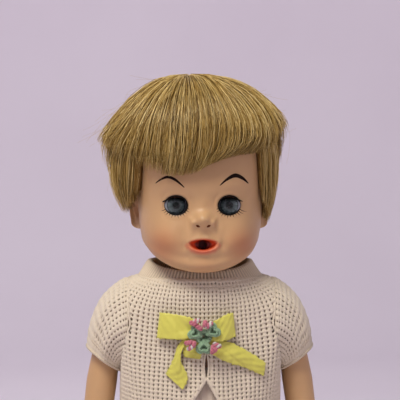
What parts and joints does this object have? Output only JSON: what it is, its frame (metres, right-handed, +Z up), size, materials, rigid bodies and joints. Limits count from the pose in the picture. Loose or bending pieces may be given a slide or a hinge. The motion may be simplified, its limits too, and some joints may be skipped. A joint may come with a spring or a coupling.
{
  "type": "interactive baby doll",
  "caption": "Dressed vinyl baby doll with rooted hair, sleep eyes, a nursing mouth that works a voice unit, and turning head and limbs.",
  "frame": {"origin": "on the floor midway between the feet, on the head's turning axis", "axes": "+Z up through the neck, the face looks along -Y, +X to the doll's own left"},
  "size_m": [0.1412, 0.1064, 0.4052],
  "materials": {
    "vinyl": "soft matte vinyl",
    "lid_vinyl": "matte",
    "lip_vinyl": "satin",
    "hair": "silky fibre",
    "shell_plastic": "satin moulded",
    "white_plastic": "gloss",
    "dark_plastic": "moulded",
    "eye_lens": "clear gloss over grey-blue",
    "lash_fibre": "fibre",
    "steel": "plated",
    "lead_weight": "dull",
    "cell_jacket": "printed sleeve",
    "circuit_green": "solder mask",
    "wire_red": "wire sleeve",
    "cone_paper": "pressed paper",
    "cream_knit": "open-work cotton knit",
    "rib_knit": "ribbed cotton knit",
    "yellow_ribbon": "satin ribbon",
    "crochet": "cotton crochet"
  },
  "bodies": {
    "torso": {"body_front": "shell_plastic", "body_back": "shell_plastic", "shell_screws": "steel", "battery_box": "dark_plastic", "battery_cover": "shell_plastic", "cover_screw": "steel", "cells": "cell_jacket", "contact_springs": "steel", "contact_plates": "steel", "power_switch": "dark_plastic", "speaker_frame": "dark_plastic", "speaker_cone": "cone_paper", "speaker_magnet": "lead_weight", "sound_board": "circuit_green", "board_parts": "dark_plastic", "body_wires": "wire_red", "knit_top": "cream_knit", "collar": "rib_knit", "ribbon_bow": "yellow_ribbon", "flower_applique": "crochet", "back_snaps": "steel", "pants": "cream_knit"},
    "head": {"head_skin": "vinyl", "hair": "hair", "mouth_tube": "lip_vinyl", "mouth_switch": "dark_plastic", "head_wires": "wire_red", "eye_cup_left": "white_plastic", "eye_cup_right": "white_plastic"},
    "plunger": {"mouth_plunger": "white_plastic"},
    "eye_left": {"eye_pin_left": "steel", "eyeball_left": "white_plastic", "iris_left": "eye_lens", "eyelid_left": "lid_vinyl", "lashes_left": "lash_fibre", "eye_weight_left": "lead_weight"},
    "eye_right": {"eye_pin_right": "steel", "eyeball_right": "white_plastic", "iris_right": "eye_lens", "eyelid_right": "lid_vinyl", "lashes_right": "lash_fibre", "eye_weight_right": "lead_weight"},
    "arm_left": {"arm_left": "vinyl", "sleeve_left": "cream_knit"},
    "arm_right": {"arm_right": "vinyl", "sleeve_right": "cream_knit"},
    "leg_left": {"leg_left": "vinyl", "pants_leg_left": "cream_knit"},
    "leg_right": {"leg_right": "vinyl", "pants_leg_right": "cream_knit"},
    "switch": {"switch_knob": "white_plastic"}
  },
  "joints": [
    {"name": "head_turn", "type": "hinge", "parent": "torso", "child": "head", "pos_m": [0, 0, 0.296], "axis": [0, 0, 1], "range_deg": [-80, 80]},
    {"name": "eye_left_close", "type": "hinge", "parent": "head", "child": "eye_left", "pos_m": [0.0145, -0.0295, 0.3325], "axis": [1, 0, 0], "range_deg": [0, 68]},
    {"name": "eye_right_close", "type": "hinge", "parent": "head", "child": "eye_right", "pos_m": [-0.0145, -0.0295, 0.3325], "axis": [1, 0, 0], "range_deg": [0, 68]},
    {"name": "mouth_press", "type": "slide", "parent": "head", "child": "plunger", "axis": [0, 1, 0], "range_m": [0, 0.002], "stiffness_N_per_m": 150},
    {"name": "arm_left_swing", "type": "hinge", "parent": "torso", "child": "arm_left", "pos_m": [0.045, 0, 0.264], "axis": [-1, 0, 0], "range_deg": [-60, 165]},
    {"name": "arm_right_swing", "type": "hinge", "parent": "torso", "child": "arm_right", "pos_m": [-0.045, 0, 0.264], "axis": [-1, 0, 0], "range_deg": [-60, 165]},
    {"name": "leg_left_swing", "type": "hinge", "parent": "torso", "child": "leg_left", "pos_m": [0.028, 0, 0.165], "axis": [-1, 0, 0], "range_deg": [-25, 90]},
    {"name": "leg_right_swing", "type": "hinge", "parent": "torso", "child": "leg_right", "pos_m": [-0.028, 0, 0.165], "axis": [-1, 0, 0], "range_deg": [-25, 90]},
    {"name": "power_slide", "type": "slide", "parent": "torso", "child": "switch", "axis": [1, 0, 0], "range_m": [0, 0.003]}
  ]
}
